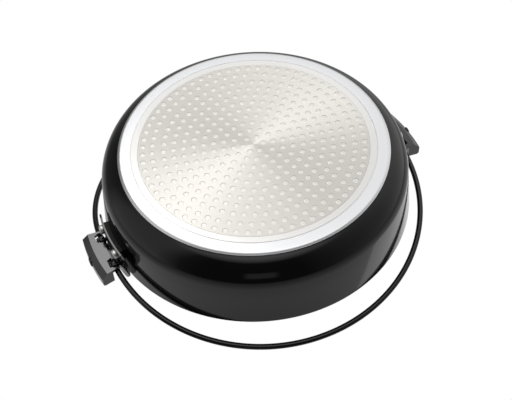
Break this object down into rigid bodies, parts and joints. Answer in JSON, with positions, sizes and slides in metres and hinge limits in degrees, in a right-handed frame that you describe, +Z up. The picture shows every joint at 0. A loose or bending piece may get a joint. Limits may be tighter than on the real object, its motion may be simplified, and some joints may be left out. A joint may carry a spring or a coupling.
{
  "type": "sukiyaki pan",
  "caption": "Shallow round aluminium pan with a perforated induction base, two phenolic ear grips and two folding wire bails.",
  "frame": {"origin": "centre of the base, on the plane that the pan stands on", "axes": "+Z up out of the bowl; the ears lie on the X axis; the front bail folds towards -Y"},
  "size_m": [0.3126, 0.2904, 0.0883],
  "materials": {
    "pan_body": "black enamel outside, black non-stick inside, machined base",
    "induction_disc": "turned",
    "bracket": "gloss black",
    "rivets": "satin",
    "grip": "semi-gloss phenolic",
    "screws": "black",
    "pins": "black",
    "bail": "gloss black"
  },
  "bodies": {
    "pan": {"pan_body": "pan_body", "induction_disc": "induction_disc", "bracket_right": "bracket", "bracket_left": "bracket", "bracket_rivets_right": "rivets", "bracket_rivets_left": "rivets", "grip_right": "grip", "grip_left": "grip", "grip_screw_right": "screws", "grip_screw_left": "screws", "pin_front_right": "pins", "pin_back_right": "pins", "pin_front_left": "pins", "pin_back_left": "pins"},
    "front_bail": {"front_bail": "bail"},
    "back_bail": {"back_bail": "bail"}
  },
  "joints": [
    {"name": "front_bail_hinge", "type": "hinge", "parent": "pan", "child": "front_bail", "pos_m": [0, -0.0145, 0.061], "axis": [-1, 0, 0], "range_deg": [0, 84]},
    {"name": "back_bail_hinge", "type": "hinge", "parent": "pan", "child": "back_bail", "pos_m": [0, 0.0145, 0.061], "axis": [1, 0, 0], "range_deg": [0, 84]}
  ]
}
